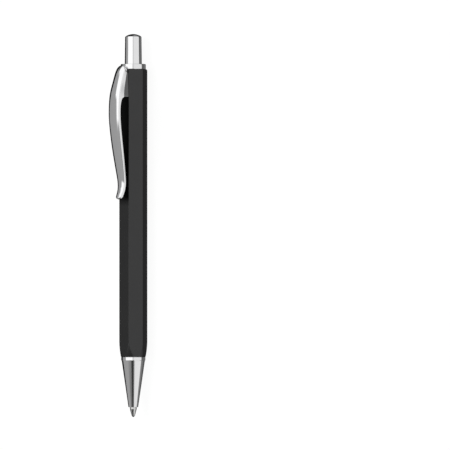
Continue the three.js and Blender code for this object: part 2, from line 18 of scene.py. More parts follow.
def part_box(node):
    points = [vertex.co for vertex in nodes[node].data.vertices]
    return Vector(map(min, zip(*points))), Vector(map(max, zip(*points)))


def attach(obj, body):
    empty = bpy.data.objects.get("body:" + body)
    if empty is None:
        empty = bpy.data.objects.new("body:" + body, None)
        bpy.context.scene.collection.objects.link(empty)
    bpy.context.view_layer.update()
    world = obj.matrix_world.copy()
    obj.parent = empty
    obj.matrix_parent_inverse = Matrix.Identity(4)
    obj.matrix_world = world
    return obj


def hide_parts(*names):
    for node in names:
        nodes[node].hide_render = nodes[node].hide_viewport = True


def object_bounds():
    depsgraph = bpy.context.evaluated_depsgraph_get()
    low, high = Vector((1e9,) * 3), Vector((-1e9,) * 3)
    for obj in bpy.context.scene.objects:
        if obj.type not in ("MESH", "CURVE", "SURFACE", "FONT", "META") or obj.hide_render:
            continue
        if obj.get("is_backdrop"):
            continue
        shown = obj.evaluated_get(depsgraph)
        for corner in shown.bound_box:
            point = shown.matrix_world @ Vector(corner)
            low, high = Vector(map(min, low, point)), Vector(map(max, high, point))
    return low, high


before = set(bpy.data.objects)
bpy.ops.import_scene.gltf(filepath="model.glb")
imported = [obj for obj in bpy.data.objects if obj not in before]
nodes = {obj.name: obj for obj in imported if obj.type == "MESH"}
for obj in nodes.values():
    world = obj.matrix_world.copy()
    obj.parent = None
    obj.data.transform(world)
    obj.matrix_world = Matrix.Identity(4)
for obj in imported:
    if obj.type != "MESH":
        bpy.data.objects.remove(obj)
cad_low, cad_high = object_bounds()

# %% [markdown]
# ## Sizes
#
# The frame says where each turned part starts and ends, so most sizes are read from its boxes.
# Lengths that the boxes don't tell, and small roundings that the CAD solids leave out, are named
# where they are first used. `MM` turns millimetres to metres. Every machined edge of a real pen is
# broken by about a tenth of a millimetre, so that it doesn't cut.

# %% Sizes read from the frame
MM = 0.001
BROKEN_EDGE = 0.1 * MM


def span(node):
    """The first and the last X of a CAD node, in metres."""
    low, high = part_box(node)
    return low.x, high.x


tip_end, button_end = cad_low.x, cad_high.x
cone_front = span("nose_cone")[0]
barrel_front, barrel_rear = span("barrel")
collar_rear = span("collar")[1]
flat = (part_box("barrel")[1].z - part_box("barrel")[0].z) / 2
axis_z = flat
corner = flat / math.cos(math.pi / 6)
collar_radius = (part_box("collar")[1].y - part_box("collar")[0].y) / 2
button_radius = (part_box("button")[1].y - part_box("button")[0].y) / 2
point_radius = (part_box("refill_tip")[1].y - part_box("refill_tip")[0].y) / 2
ball_radius = (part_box("writing_ball")[1].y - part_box("writing_ball")[0].y) / 2
print("pen length, mm:", round((button_end - tip_end) / MM, 2))
print("across flats, mm:", round(2 * flat / MM, 2), "collar, mm:", round(2 * collar_radius / MM, 2))

# %% [markdown]
# ## The camera
#
# The photograph looks at the pen through a long lens, so nearly without perspective, and with
# the pen upright in the picture. The camera therefore stands well back, its up direction is the
# pen's +X, and it looks down on the lying pen so that the clip is turned 49 degrees away from
# the line of sight. The pen stands left of the picture's middle, as it does in the photograph.

# %% Camera
PICTURE_WIDTH_PX = 450
PEN_TOP_PX, PEN_BOTTOM_PX, PEN_AXIS_PX = 34.05, 416.95, 133.3
clip_turn = math.radians(48.8)
camera_distance = 1.6

metres_per_px = (button_end - tip_end) / (PEN_BOTTOM_PX - PEN_TOP_PX)
side_offset = (PICTURE_WIDTH_PX / 2 - PEN_AXIS_PX) * metres_per_px
along_offset = (PEN_BOTTOM_PX + PEN_TOP_PX) / 2 - PICTURE_WIDTH_PX / 2
along_offset *= metres_per_px
tilt = math.pi / 2 - clip_turn + math.atan2(side_offset, camera_distance)
to_camera = Vector((0, -math.cos(tilt), math.sin(tilt)))
picture_right = Vector((0, -math.sin(tilt), -math.cos(tilt)))
aim = Vector((along_offset + (tip_end + button_end) / 2, 0, axis_z)) + side_offset * picture_right

camera_data = bpy.data.cameras.new("camera")
camera_data.sensor_width = 36.0
camera_data.lens = camera_data.sensor_width * camera_distance / (PICTURE_WIDTH_PX * metres_per_px)
camera = bpy.data.objects.new("camera", camera_data)
bpy.context.scene.collection.objects.link(camera)
turn = Matrix((picture_right, Vector((1, 0, 0)), to_camera)).transposed().to_4x4()
camera.matrix_world = Matrix.Translation(aim + camera_distance * to_camera) @ turn
camera_data.clip_end = 20
bpy.context.scene.camera = camera
print("lens, mm:", round(camera_data.lens, 1), "metres per px:", round(metres_per_px, 6))

# %% [markdown]
# ## Shader maths
#
# A small class wraps an output socket, so that maths on values is written as plain Python and
# each operation adds its Math node. One method adds any other node.

# %% A socket class


class Value:
    """A number inside a node tree: + - * and / on it add Math nodes."""

    def __init__(self, tree, socket):
        self.tree = tree
        self.socket = socket

    def math(self, operation, *others, swapped=False):
        node = self.tree.nodes.new("ShaderNodeMath")
        node.operation = operation
        terms = [self, *others]
        if swapped:
            terms.reverse()
        for place, term in zip(node.inputs, terms):
            if isinstance(term, Value):
                self.tree.links.new(term.socket, place)
            else:
                place.default_value = term
        return Value(self.tree, node.outputs[0])

    def __add__(self, other):
        return self.math("ADD", other)

    def __radd__(self, other):
        return self.math("ADD", other)

    def __sub__(self, other):
        return self.math("SUBTRACT", other)

    def __rsub__(self, other):
        return self.math("SUBTRACT", other, swapped=True)

    def __mul__(self, other):
        return self.math("MULTIPLY", other)

    def __rmul__(self, other):
        return self.math("MULTIPLY", other)

    def __truediv__(self, other):
        return self.math("DIVIDE", other)


print("sockets as numbers: + - * /")

# %% [markdown]
# Whole node trees are written through one more class. A material or a world starts as an empty
# tree, and each node is one call with its kind, its settings and what goes into its sockets. A
# socket is named by its label, or by i and its number where sockets share a label.

# %% A node tree class


class Tree:
    """A node tree being written: node() adds any node and returns one of its outputs."""

    def __init__(self, tree):
        self.tree = tree
        tree.nodes.clear()

    def node(self, kind, settings=None, output=0, **inputs):
        """Adds a node: its settings first, then its inputs, whose names have _ for spaces.

        output is the number or the label of the socket that is handed back.
        """
        made = self.tree.nodes.new(kind)
        for name, value in (settings or {}).items():
            if name == "stops":
                self.set_stops(made, value)
            else:
                setattr(made, name, value)
        for name, value in inputs.items():
            numbered = name[0] == "i" and name[1:].isdigit()
            place = made.inputs[int(name[1:]) if numbered else name.replace("_", " ")]
            if isinstance(value, Value):
                self.tree.links.new(value.socket, place)
            else:
                place.default_value = value
        return Value(self.tree, made.outputs[output]) if made.outputs else None

    @staticmethod
    def set_stops(ramp, stops):
        """Fills a colour ramp with (place, grey or colour) stops."""
        elements = ramp.color_ramp.elements
        while len(elements) < len(stops):
            elements.new(0.5)
        for element, (place, colour) in zip(elements, stops):
            element.position = place
            rgb = colour if isinstance(colour, tuple) else (colour,) * 3
            element.color = (*rgb, 1.0)


def grey(value):
    """A grey of that level, with full cover."""
    return (value, value, value, 1.0)


print("mid grey:", grey(0.5))

# %% [markdown]
# ## The studio
#
# Polished metal shows nothing but its surroundings. In the photograph the chrome has sharp
# bands: a black edge and a mid grey band on the left, then white, a thin grey line down the
# middle, light grey, and dark grey on the right. Those bands are the studio's panels. They could
# be modelled as real sheets of card, but a world made of nodes has no edges to place and renders
# with less noise. Here what metal sees depends mostly on the direction round the pen's long axis.

# %% Bands of the panels
# Each stop is an angle round the pen's axis, in degrees from the camera and positive to the
# right, and the grey there
PANEL_BANDS = [
    (-180, 0.004), (-120, 0.004), (-117, 0.34), (-76.5, 0.36), (-72.5, 1.15), (-8, 1.15),
    (-6, 0.66), (5, 0.66), (8, 0.84), (84.7, 0.84), (86.1, 0.12), (115, 0.12), (128, 0.22),
    (140, 0.14), (180, 0.05),
]
# What a cone sees, whose surface leans towards the writing tip
FRONT_BANDS = [
    (-180, 0.01), (-121, 0.01), (-118, 0.34), (-21, 0.38), (-18, 0.05), (5.2, 0.05),
    (7.8, 0.86), (86.6, 0.86), (89.2, 0.25), (97, 0.24), (113, 0.19), (136, 0.08), (180, 0.05),
]
# What the steeper point of the refill sees
POINT_BANDS = [
    (-180, 0.05), (-110, 0.34), (-60, 0.3), (-50, 0.03), (14, 0.03), (20, 0.8), (92, 0.8),
    (96, 0.2), (180, 0.05),
]
# What surfaces see that lean towards the button, such as the clip's rising root
REAR_BANDS = [
    (-180, 0.004), (-123, 0.004), (-120, 0.34), (-83, 0.36), (-79, 1.15), (-8, 1.15),
    (-6, 0.66), (5, 0.66), (8, 0.84), (84.7, 0.84), (86.1, 0.12), (180, 0.05),
]
# What they see where they lean further
STEEP_BANDS = [
    (-180, 0.02), (-125, 0.03), (-112, 0.09), (-103, 0.2), (-97, 1.1), (-8, 1.1), (-6, 0.66),
    (5, 0.66), (8, 0.84), (84.7, 0.84), (86.1, 0.12), (180, 0.05),
]
# What surfaces see that face the button's end of the studio
END_BANDS = [
    (-180, 0.03), (-130, 0.04), (-118, 0.5), (-100, 0.9), (-60, 0.95), (-5, 0.8), (10, 0.6),
    (60, 0.4), (95, 0.33), (115, 0.25), (125, 0.4), (180, 0.3),
]
print("bands:", [len(b) for b in (PANEL_BANDS, FRONT_BANDS, POINT_BANDS, REAR_BANDS, STEEP_BANDS,
                                  END_BANDS)])

# %% [markdown]
# A colour ramp holds each row of bands, and is read at the direction's angle round the axis. Where
# a direction leans towards the tip or the button, the rows made for that lean take over.

# %% Panels by direction
world = bpy.data.worlds.new("studio")
bpy.context.scene.world = world
world.use_nodes = True
studio = Tree(world.node_tree)
BLEND = 10.0


def ramp_of(bands, place):
    """A ramp over the full turn, with a stop at each angle of the bands."""
    stops = [((angle + 180) / 360, level) for angle, level in bands]
    return studio.node("ShaderNodeValToRGB", {"stops": stops}, Fac=place)


direction = studio.node("ShaderNodeTexCoord")
towards = studio.node("ShaderNodeVectorMath", {"operation": "DOT_PRODUCT"}, output="Value",
                      i0=direction, i1=tuple(to_camera))
rightwards = studio.node("ShaderNodeVectorMath", {"operation": "DOT_PRODUCT"}, output="Value",
                         i0=direction, i1=tuple(picture_right))
along = studio.node("ShaderNodeSeparateXYZ", Vector=direction)
place = rightwards.math("ARCTAN2", towards) / (2 * math.pi) + 0.5


def leans_over(limit, side):
    """0 to 1 as a direction's share towards the tip (side -1) or the button passes a limit."""
    share = along * (BLEND * side) - BLEND * limit + 0.5
    share.socket.node.use_clamp = True
    return share


panels = ramp_of(PANEL_BANDS, place)
for limit, side, bands in [(0.13, -1, FRONT_BANDS), (0.4, -1, POINT_BANDS),
                           (0.2, 1, REAR_BANDS), (0.53, 1, STEEP_BANDS), (0.8, 1, END_BANDS)]:
    panels = studio.node("ShaderNodeMix", {"data_type": "RGBA"}, output=2,
                         i0=leans_over(limit, side), i6=panels, i7=ramp_of(bands, place))
print("nodes in the studio:", len(world.node_tree.nodes))

# %% [markdown]
# The camera itself sees plain white, and matt surfaces get even, soft light. Light Path nodes
# tell the three apart.

# %% World
is_camera = studio.node("ShaderNodeLightPath", output="Is Camera Ray")
is_glossy = studio.node("ShaderNodeLightPath", output="Is Glossy Ray")
SOFT_LEVEL = 0.62
seen = studio.node("ShaderNodeMix", {"data_type": "RGBA"}, output=2, i0=is_glossy,
                   i6=grey(SOFT_LEVEL), i7=panels)
shown = studio.node("ShaderNodeMix", {"data_type": "RGBA"}, output=2, i0=is_camera,
                    i6=seen, i7=grey(1.0))
background = studio.node("ShaderNodeBackground", Color=shown)
studio.node("ShaderNodeOutputWorld", Surface=background)
print("soft light:", SOFT_LEVEL)

# %% [markdown]
# One large soft lamp stands to the upper left of the picture. Metal doesn't see it, because the
# bands above already hold the panels that metal shows.

# %% Key lamp
lamp_data = bpy.data.lights.new("key_lamp", "AREA")
lamp_data.shape = "DISK"
lamp_data.size = 0.7
lamp_data.energy = 3.2
lamp = bpy.data.objects.new("key_lamp", lamp_data)
bpy.context.scene.collection.objects.link(lamp)
lamp_place = Vector((0.25, 0.35, 0.75))
lamp_turn = lamp_place.to_track_quat("Z", "Y").to_matrix().to_4x4()
lamp.matrix_world = Matrix.Translation(lamp_place) @ lamp_turn
lamp.visible_glossy = False
print("lamp at, m:", [round(a, 2) for a in lamp_place])

# %% [markdown]
# The floor is matt and takes the pen's soft shadow. The camera also sees light of the floor's
# own, so that it comes out white, as the photograph's background does, with no more light on the
# pen.
# Polished metal doesn't see the floor: the panels reach all round it.

# %% Floor
FLOOR_DROP = 0.02 * MM
FLOOR_FILL = 0.93
bpy.ops.mesh.primitive_plane_add(size=8.0, location=(0, 0, -FLOOR_DROP))
floor = bpy.context.object
floor.name = "floor"
floor.visible_glossy = False
floor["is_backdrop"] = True
floor_finish = bpy.data.materials.new("pale_floor")
floor_finish.use_nodes = True
floor_tree = Tree(floor_finish.node_tree)
floor_seen = floor_tree.node("ShaderNodeLightPath", output="Is Camera Ray")
matt = floor_tree.node("ShaderNodeBsdfDiffuse", Color=grey(0.1))
fill = floor_tree.node("ShaderNodeEmission", Strength=floor_seen * FLOOR_FILL)
both = floor_tree.node("ShaderNodeAddShader", i0=matt, i1=fill)
floor_tree.node("ShaderNodeOutputMaterial", Surface=both)
floor.data.materials.append(floor_finish)
print("floor below the pen by, mm:", FLOOR_DROP / MM)

# %% [markdown]
# ## Finishes
#
# All finishes are worked out from the place on the object (Object coordinates), so they don't
# depend on how a mesh was made. Lengths in them are in metres, so a scale of 1 / (0.2 * MM)
# gives marks about 0.2 mm across.
#
# The black barrel has a dark metal plating. Its upper flat gets hardly any light where the clip
# stands over it, from the foot to a little past the clip's free end. The studio made of nodes
# still lights it more than a real one does, so shade is painted on that strip: its colour is dimmed.

# %% Shade under the clip
# How far the painted shade under the clip darkens the barrel's colour
DIM = 0.85
DIMMED_FROM, DIMMED_TO, DIMMED_FADE = 10.0 * MM, 48.4 * MM, 3.2 * MM
SHARP_FADE = 0.2 * MM
FLAT_DEPTH, FLAT_FADE = 0.12 * MM, 0.1 * MM


def painted_clip_shade(t, where):
    """1 on the upper flat under the clip, where shade is painted into the colour, fading to 0 past
    its end and at the flat's edges.
    """
    x, z = (t.node("ShaderNodeSeparateXYZ", output=axis, Vector=where) for axis in "XZ")
    distance = barrel_rear - x
    parts = [(distance - DIMMED_FROM) / SHARP_FADE, (DIMMED_TO - distance) / DIMMED_FADE + 0.5,
             (z - (axis_z + flat - FLAT_DEPTH)) / FLAT_FADE]
    for part in parts:
        part.socket.node.use_clamp = True
    return parts[0] * parts[1] * parts[2]


print("dimmed strip, mm:", round((DIMMED_TO - DIMMED_FROM) / MM, 1))

# %% [markdown]
# No real surface has one even colour and gloss. A slow noise shifts both a little over a few
# millimetres, and a fine one makes a shallow grain. Turned parts also have rings from the lathe,
# as a noise that changes along X alone.

# %% A finish
LATHE_RINGS = 0.05 * MM


def finish(name, colour, roughness, metallic=0.0, *, shade=0.06, mottle=4.0, rough_spread=0.05,
           grain=0.15, grain_depth=0.002, lines=0.0, dimmed=None):
    """A finish with slow shade changes, uneven gloss, a fine grain, and lathe lines along X.

    mottle and grain are sizes in millimetres, grain_depth and lines are depths in millimetres.
    dimmed gives, from the tree and the place, how far the colour is dimmed by DIM there, as painted
    shade.
    """
    material = bpy.data.materials.new(name)
    material.use_nodes = True
    t = Tree(material.node_tree)
    where = t.node("ShaderNodeTexCoord", output="Object")
    slow = t.node("ShaderNodeTexNoise", {"noise_dimensions": "3D"}, Vector=where,
                  Scale=1 / (mottle * MM), Detail=3.0, Roughness=0.55)
    fine = t.node("ShaderNodeTexNoise", {"noise_dimensions": "3D"}, Vector=where,
                  Scale=1 / (grain * MM), Detail=2.0, Roughness=0.6)
    dark = tuple(c * (1 - shade) for c in colour)
    pale = tuple(min(c * (1 + shade), 1.0) for c in colour)
    base = t.node("ShaderNodeMix", {"data_type": "RGBA"}, output=2, i0=slow,
                  i6=(*dark, 1.0), i7=(*pale, 1.0))
    # Painted shade: the colour is dimmed where the mask is 1
    if dimmed:
        base = t.node("ShaderNodeMix", {"data_type": "RGBA"}, output=2, i0=dimmed(t, where),
                      i6=base, i7=(*(c * (1 - DIM) for c in colour), 1.0))
    gloss = slow * (2 * rough_spread) + (roughness - rough_spread)
    height = fine * (grain_depth * MM)
    if lines:
        x = t.node("ShaderNodeSeparateXYZ", output="X", Vector=where)
        turning = t.node("ShaderNodeTexNoise", {"noise_dimensions": "1D"}, W=x,
                         Scale=1 / LATHE_RINGS, Detail=2.0, Roughness=0.7)
        height = height + turning * (lines * MM)
    bump = t.node("ShaderNodeBump", Height=height, Distance=1.0, Strength=1.0)
    skin = t.node("ShaderNodeBsdfPrincipled", Base_Color=base, Roughness=gloss,
                  Metallic=metallic, Normal=bump)
    t.node("ShaderNodeOutputMaterial", Surface=skin)
    print(name, "nodes:", len(material.node_tree.nodes))
    return material


# %% [markdown]
# Chrome plate is bright and nearly a mirror. The point and the ball are duller, drawn steel and
# brass have a soft gloss, and the moulded pieces of the click mechanism are plastic, not metal.

# %% The pen's finishes
# The barrel's colour has shade painted in on the flat under the clip
black_plating = finish("black_plating", (0.064, 0.064, 0.0645), 0.42, 1.0, shade=0.08, mottle=6.0,
                       rough_spread=0.04, grain=0.12, grain_depth=0.0012, dimmed=painted_clip_shade)
chrome = finish("chrome_plate", (0.88, 0.88, 0.885), 0.07, 1.0, shade=0.02, mottle=5.0,
                rough_spread=0.02, grain=0.3, grain_depth=0.0002)
turned_chrome = finish("turned_chrome", (0.88, 0.88, 0.885), 0.09, 1.0, shade=0.02, mottle=3.0,
                       rough_spread=0.02, grain=0.3, grain_depth=0.0002, lines=0.0003)
point_steel = finish("point_steel", (0.70, 0.70, 0.69), 0.20, 1.0, shade=0.05, mottle=1.0,
                     rough_spread=0.05, grain=0.1, grain_depth=0.0004, lines=0.0008)
carbide = finish("ball_carbide", (0.02, 0.02, 0.022), 0.25, 1.0, shade=0.08, mottle=0.4)
drawn_steel = finish("drawn_steel", (0.62, 0.62, 0.63), 0.30, 1.0, shade=0.06, mottle=3.0)
spring_wire = finish("spring_wire", (0.55, 0.55, 0.56), 0.25, 1.0, shade=0.06, mottle=1.0)
turned_brass = finish("turned_brass", (0.75, 0.56, 0.27), 0.26, 1.0, shade=0.06, mottle=2.0,
                      lines=0.001)
acetal = finish("white_acetal", (0.78, 0.77, 0.73), 0.45, shade=0.04, mottle=5.0)
dark_moulding = finish("dark_moulding", (0.045, 0.045, 0.05), 0.5, shade=0.10, mottle=4.0)
ink_paste = finish("ink_paste", (0.012, 0.012, 0.02), 0.22, shade=0.15, mottle=3.0)

# %% [markdown]
# The pieces inside the pen keep their CAD shapes and get their own finishes.

# %% Finishes of the carried-over nodes
CARRIED = {
    "guide_sleeve": acetal,
    "plunger": acetal,
    "cam_rotor": acetal,
    "return_spring": spring_wire,
    "refill_nose": turned_brass,
    "refill_tube": drawn_steel,
    "ink_column": ink_paste,
    "refill_plug": dark_moulding,
}
for node, material in CARRIED.items():
    nodes[node].data.materials.clear()
    nodes[node].data.materials.append(material)
print("pieces kept from the frame:", sorted(CARRIED))

# %% [markdown]
# ## Meshes from grids
#
# Every new surface is a grid of points worked out at once with numpy. Each row is a loop, and the
# last row may join the first one, as in a ring. Points nearer than `MERGED` become one, which
# closes the poles.

# %% Pieces from grids
MERGED = 0.0002 * MM


def grid_faces(rows, columns, close_rows=False):
    """Corner numbers of the quads of a grid, each row being one closed loop of points."""
    i = np.arange(rows if close_rows else rows - 1)
    i, j = (a.ravel() for a in np.meshgrid(i, np.arange(columns), indexing="ij"))
    up, over = (i + 1) % rows, (j + 1) % columns
    return np.stack([i * columns + j, i * columns + over, up * columns + over, up * columns + j], 1)


def piece(name, points, faces, material, body, replaced, sharp=35.0, extra_faces=()):
    """A finished piece: a mesh of points and faces, facing outwards, riding on a CAD body."""
    mesh = bpy.data.meshes.new(name)
    mesh.from_pydata(points.reshape(-1, 3).tolist(), [], [*faces.tolist(), *extra_faces])
    shell = bmesh.new()
    shell.from_mesh(mesh)
    bmesh.ops.remove_doubles(shell, verts=shell.verts, dist=MERGED)
    bmesh.ops.dissolve_degenerate(shell, edges=shell.edges, dist=MERGED)
    bmesh.ops.recalc_face_normals(shell, faces=shell.faces)
    shell.to_mesh(mesh)
    shell.free()
    mesh.shade_smooth()
    mesh.set_sharp_from_angle(angle=math.radians(sharp))
    obj = bpy.data.objects.new(name, mesh)
    bpy.context.scene.collection.objects.link(obj)
    mesh.materials.append(material)
    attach(obj, body)
    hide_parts(*replaced)
    print(name, "faces:", len(mesh.polygons))
    return obj


print("faces of a small ring:", len(grid_faces(2, 8, close_rows=True)))

# %% [markdown]
# A turned part needs only its outline. The arcs at its corners matter: polished metal shows every
# edge as a thin bright or dark line, and a sharp corner would show none.

# %% Turned parts


def rounded(corners, steps=6):
    """An outline through (x, r, rounding) corners, each corner replaced by an arc of that radius.

    At a corner between unit directions a and b, the arc touches both sides at a distance of
    rounding * tan(half the turn), and its points are a smooth blend of those two touching points.
    """
    c = np.array(corners, float)
    out = []
    for i, (x, r, rounding) in enumerate(c):
        here = np.array([x, r])
        if rounding == 0 or i in (0, len(c) - 1):
            out.append(here[None])
            continue
        a = c[i - 1, :2] - here
        b = c[i + 1, :2] - here
        a, b = a / np.linalg.norm(a), b / np.linalg.norm(b)
        half = math.acos(np.clip(a @ b, -1, 1)) / 2
        reach = rounding / math.tan(half)
        middle = here + (a + b) / np.linalg.norm(a + b) * rounding / math.sin(half)
        first, last = here + a * reach - middle, here + b * reach - middle
        t = np.linspace(0, 1, steps + 1)[:, None]
        sweep = math.pi - 2 * half
        arc = (first * np.sin((1 - t) * sweep) + last * np.sin(t * sweep)) / math.sin(sweep)
        out.append(middle + arc)
    return np.concatenate(out)


def turned(name, outline, material, body, replaced, ring=True, segments=160, sharp=35.0):
    """A lathe part: each outline point (x, r) goes round the pen's axis.

    A point at angle a is at y = r sin a, z = axis + r cos a. A ring's outline closes on itself.
    """
    x, r = outline.T
    angle = np.linspace(0, 2 * math.pi, segments, endpoint=False)
    points = np.stack(np.broadcast_arrays(
        x[:, None], r[:, None] * np.sin(angle), axis_z + r[:, None] * np.cos(angle)), -1)
    return piece(name, points, grid_faces(len(x), segments, close_rows=ring), material, body,
                 replaced, sharp)


print("points of a rounded corner:", len(rounded([(0, 0, 0), (1, 0, 0.1), (1, 1, 0)])) - 2)

# %% [markdown]
# ## The barrel
#
# The real barrel is a length of hexagonal metal bar or tube. A lathe turns its front end round,
# so each flat ends there in a curved line, and breaks the sharp edge at the rear. A distance
# from the axis describes all of that: along any direction it is the smaller of the hexagon's
# and the turned outline's. A soft minimum, instead of a sharp one, rounds the edges between
# them as polishing and plating do.

# %% The barrel's outside
BARREL_FRONT_STEP = 0.03 * MM
BARREL_TAPER = 4.95 * MM
BARREL_BULGE = 0.35
REAR_CHAMFER = 0.35 * MM
EDGE_HARDNESS = 17.5 / MM
LEAST_FACING = 0.3
FAR = 1.0


def soft_min(distances):
    """The least of several distances, blended where two are nearly the same.

    It is -log(sum(exp(-k d))) / k along the first axis, and a larger k gives harder edges.
    """
    least = distances.min(axis=0)
    return least - np.log(np.exp(-EDGE_HARDNESS * (distances - least)).sum(axis=0)) / EDGE_HARDNESS


def hexagon(angle):
    """Distance from the axis to the flats: flat / cos(angle from the nearest flat's normal)."""
    normals = np.arange(6)[:, None] * math.pi / 3
    facing = np.cos(angle[None] - normals)
    near = facing > LEAST_FACING
    return soft_min(np.where(near, flat / np.maximum(facing, LEAST_FACING), FAR))


def turned_limit(x):
    """Radius of the turned ends: the lesser of a bulged taper in front and a rear chamfer.

    The taper goes u + b u (1 - u) of the way from the flats to the corners, with the bulge b.
    """
    u = np.clip((x - barrel_front) / BARREL_TAPER, 0, None)
    front = flat - BARREL_FRONT_STEP
    share = u + BARREL_BULGE * u * (1 - np.minimum(u, 1))
    rear = corner - REAR_CHAMFER + (barrel_rear - x)
    return np.minimum(front + (corner - front) * share, rear)


middle_of_taper = barrel_front + BARREL_TAPER / 2
print("radius in the middle of the taper, mm:", round(turned_limit(middle_of_taper) / MM, 2))

# %% [markdown]
# The barrel is drilled from both ends: wider at the front for the nose cone's spigot, and wider
# at the rear for the collar's sleeve. Outside, rear face, bore and front face are one closed
# grid. Its points stand closer together at the hexagon's corners, on the taper and at the rear.

# %% Barrel
SPIGOT_ROOM, SPIGOT_ROOM_LENGTH = 3.73 * MM, 8.3 * MM
REAR_BORE, REAR_BORE_LENGTH = 3.72 * MM, 29.905 * MM
BORE, BORE_FROM_REAR = 3.3 * MM, 30.1 * MM
BORE_MOUTH, MOUTH_CHAMFER = 3.9 * MM, 0.08 * MM
FRONT_LIP, REAR_LIP = 0.03 * MM, 0.05 * MM
STEP_LENGTH = 0.1 * MM
CORNER_STEPS, TAPER_STEPS, LENGTH_STEPS, REAR_STEPS = 49, 64, 26, 16
REAR_LENGTH = 1.2 * MM
TAPER_REACH = 1.25
BARREL_SHARP = 40.0


def barrel_points():
    """At angle a a point lies at y = r sin a, z = axis + r cos a, with r for each row of x."""
    sector = np.linspace(-1, 1, CORNER_STEPS)
    dense = np.sin(sector[:-1] * math.pi / 2) * math.pi / 6
    angle = (np.arange(6)[:, None] * math.pi / 3 + dense).ravel()
    taper = barrel_front + np.linspace(0, TAPER_REACH * BARREL_TAPER, TAPER_STEPS)
    rear = barrel_rear - np.linspace(REAR_LENGTH, 0, REAR_STEPS)
    straight = np.linspace(taper[-1], rear[0], LENGTH_STEPS)[1:-1]
    x = np.concatenate([taper, straight, rear])
    outer = soft_min(np.stack(np.broadcast_arrays(
        hexagon(angle)[None, :], turned_limit(x)[:, None])))
    inside = [
        (barrel_rear, BORE_MOUTH),
        (barrel_rear - MOUTH_CHAMFER, REAR_BORE), (barrel_rear - REAR_BORE_LENGTH, REAR_BORE),
        (barrel_rear - BORE_FROM_REAR, BORE), (barrel_front + SPIGOT_ROOM_LENGTH + STEP_LENGTH, BORE),
        (barrel_front + SPIGOT_ROOM_LENGTH, SPIGOT_ROOM), (barrel_front, SPIGOT_ROOM),
    ]
    inside_x, inside_r = np.array(inside).T
    x = np.concatenate([x, [barrel_rear], inside_x, [barrel_front]])
    bore = inside_r[:, None] + 0 * angle
    radius = np.concatenate([outer, outer[-1:] - REAR_LIP, bore, outer[:1] - FRONT_LIP])
    return np.stack(np.broadcast_arrays(
        x[:, None], radius * np.sin(angle), axis_z + radius * np.cos(angle)), -1)


points = barrel_points()
barrel = piece("barrel_shell", points, grid_faces(*points.shape[:2], close_rows=True),
               black_plating, "casing", ["barrel"], sharp=BARREL_SHARP)

# %% [markdown]
# A slot in the barrel's rear edge lets the clip's tongue in. It is milled straight down through
# the wall, so a block cuts it here.

# %% Slot for the clip's tongue
SLOT_HALF_WIDTH = 2.3 * MM
SLOT_DEPTH = 1.2 * MM
SLOT_FLOOR, SLOT_TOP = 3.1 * MM, 6.0 * MM


def cut_away(obj, low, high):
    """Cuts the box between two corners out of an object and keeps its shading."""
    mesh = bpy.data.meshes.new("cutter")
    block = bmesh.new()
    bmesh.ops.create_cube(block, size=1.0)
    middle, size = (np.array(low) + high) / 2, np.array(high) - low
    bmesh.ops.scale(block, vec=Vector(size), verts=block.verts)
    bmesh.ops.translate(block, vec=Vector(middle), verts=block.verts)
    block.to_mesh(mesh)
    block.free()
    cutter = bpy.data.objects.new("cutter", mesh)
    bpy.context.scene.collection.objects.link(cutter)
    cut = obj.modifiers.new("cut", "BOOLEAN")
    cut.operation = "DIFFERENCE"
    cut.solver = "EXACT"
    cut.object = cutter
    graph = bpy.context.evaluated_depsgraph_get()
    result = bpy.data.meshes.new_from_object(obj.evaluated_get(graph))
    obj.modifiers.clear()
    old, obj.data = obj.data, result
    bpy.data.meshes.remove(old)
    bpy.data.objects.remove(cutter)
    bpy.data.meshes.remove(mesh)
    obj.data.set_sharp_from_angle(angle=math.radians(BARREL_SHARP))


cut_away(barrel,
         (barrel_rear - SLOT_DEPTH, -SLOT_HALF_WIDTH, axis_z + SLOT_FLOOR),
         (barrel_rear + SLOT_DEPTH, SLOT_HALF_WIDTH, axis_z + SLOT_TOP))
print("barrel after the slot, faces:", len(barrel.data.polygons))

# %% [markdown]
# ## Turned metal parts
#
# The nose cone, collar, button and writing point are lathe work. Each is one outline of
# straight lines and small arcs, turned round the axis.
#
# The nose cone ends in a short shoulder that is almost as wide as the barrel's flats. Behind it a
# spigot goes into the barrel. Inside, one bore lets the writing point through and a wider one
# holds the return spring.

# %% Nose cone
CONE_FRONT_RADIUS, CONE_FRONT_EDGE = 1.78 * MM, 0.12 * MM
CONE_REAR_RADIUS, CONE_REAR_EDGE = 4.25 * MM, 0.05 * MM
SHOULDER_LENGTH = 1.42 * MM
SHOULDER_GAP = 0.05 * MM
SHOULDER_BELOW_FLAT = 0.13 * MM
SHOULDER_FACE = 0.03 * MM
SHOULDER_CHAMFER, CHAMFER_END, CHAMFER_EDGE = 0.08 * MM, 0.16 * MM, 0.01 * MM
SLIDE_GAP = 0.1 * MM
SPIGOT_GAP = 0.2 * MM
SPIGOT_BORE, SPRING_BORE = 2.95 * MM, 2.45 * MM
SPRING_BORE_BEHIND = 0.1 * MM
SEAT_GAP = 0.06 * MM
cone_rear = barrel_front - SHOULDER_LENGTH
shoulder_radius = flat - SHOULDER_BELOW_FLAT
shoulder_rear = barrel_front - SHOULDER_GAP
tip_bore = point_radius + SLIDE_GAP
spigot_radius = SPIGOT_ROOM - SPIGOT_GAP
spigot_end = span("nose_cone")[1]
spring_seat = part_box("return_spring")[0].x - SEAT_GAP
spring_bore_end = barrel_front + SPRING_BORE_BEHIND
